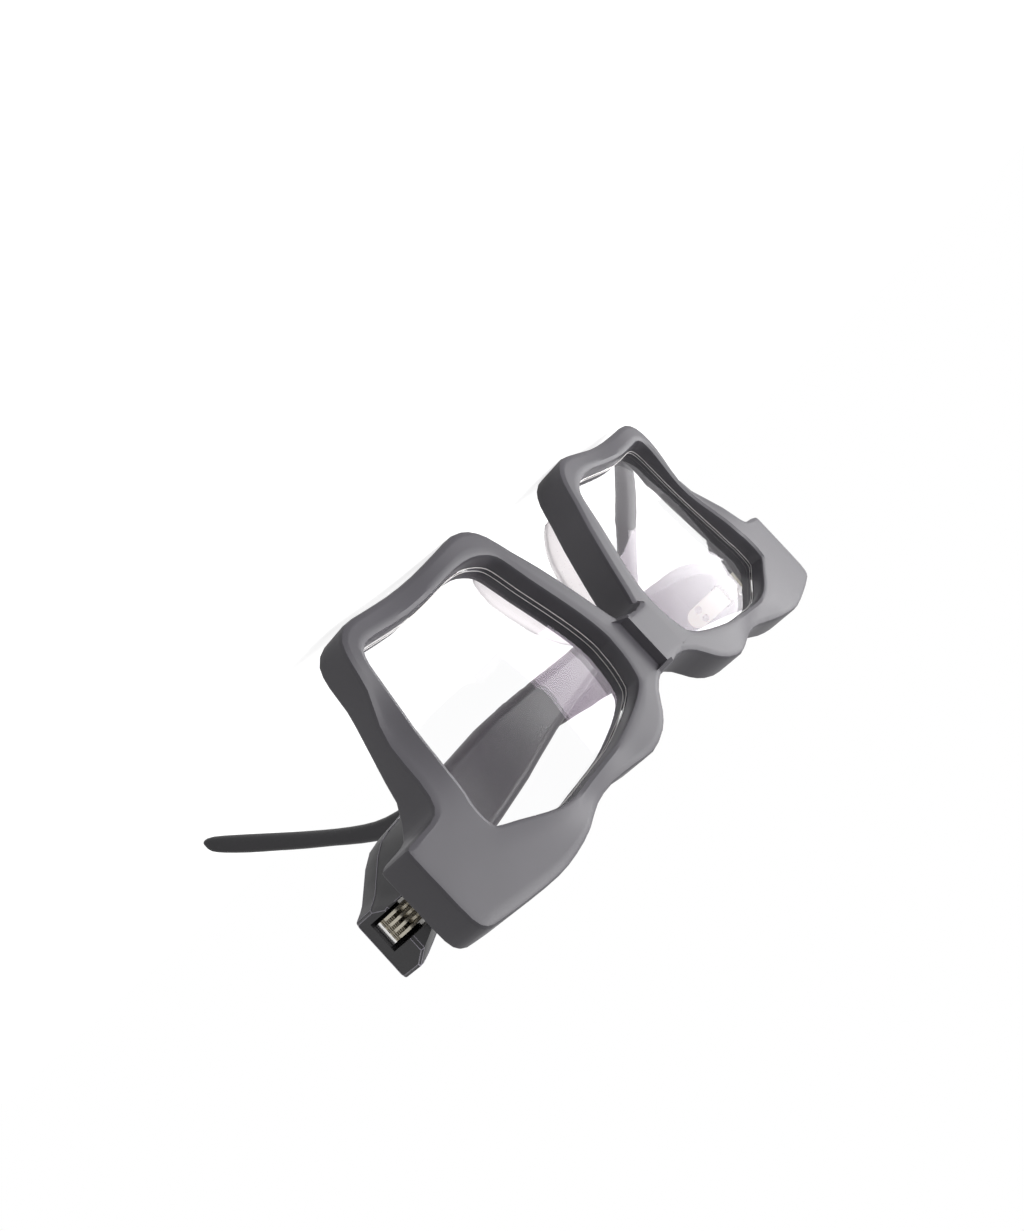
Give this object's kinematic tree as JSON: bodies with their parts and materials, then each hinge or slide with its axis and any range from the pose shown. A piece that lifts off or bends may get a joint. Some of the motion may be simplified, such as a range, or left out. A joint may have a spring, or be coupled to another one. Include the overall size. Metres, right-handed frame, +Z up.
{
  "type": "eyeglasses",
  "caption": "Plastic eyeglasses with an angular, wavy rim outline, a raised bar on the bridge, clear lenses, clear nose pads and two folding temples on metal hinges.",
  "frame": {"origin": "the foremost face of the bar on the bridge, in the frame's middle plane, 5.8 mm above the bridge's lower edge", "axes": "+X to the wearer's left, +Y to the back, towards the wearer, +Z up; the hinge axes run along Z"},
  "size_m": [0.15, 0.1569, 0.0552],
  "materials": {
    "frame_plastic": "fine matte",
    "temple_plastic": "fine matte",
    "lens_clear": "clear, coated",
    "pad_clear": "clear",
    "hinge_metal": "satin nickel"
  },
  "bodies": {
    "front": {"front_frame": "frame_plastic", "lens_left": "lens_clear", "lens_right": "lens_clear", "nose_pad_left": "pad_clear", "nose_pad_right": "pad_clear", "front_hinge_left": "hinge_metal", "front_hinge_right": "hinge_metal", "front_hinge_rivets_left": "hinge_metal", "front_hinge_rivets_right": "hinge_metal", "hinge_screw_left": "hinge_metal", "hinge_screw_right": "hinge_metal", "hinge_washer_left": "hinge_metal", "hinge_washer_right": "hinge_metal", "hinge_nut_left": "hinge_metal", "hinge_nut_right": "hinge_metal"},
    "left_temple": {"temple_left": "temple_plastic", "temple_hinge_left": "hinge_metal", "temple_hinge_rivets_left": "hinge_metal"},
    "right_temple": {"temple_right": "temple_plastic", "temple_hinge_right": "hinge_metal", "temple_hinge_rivets_right": "hinge_metal"}
  },
  "joints": [
    {"name": "left_temple_open", "type": "hinge", "parent": "front", "child": "left_temple", "pos_m": [0.0649, 0.02647, 0.0053], "axis": [0, 0, -1], "range_deg": [0, 90]},
    {"name": "right_temple_fold", "type": "hinge", "parent": "front", "child": "right_temple", "pos_m": [-0.0649, 0.02647, 0.0053], "axis": [0, 0, -1], "range_deg": [-26, 40]}
  ]
}
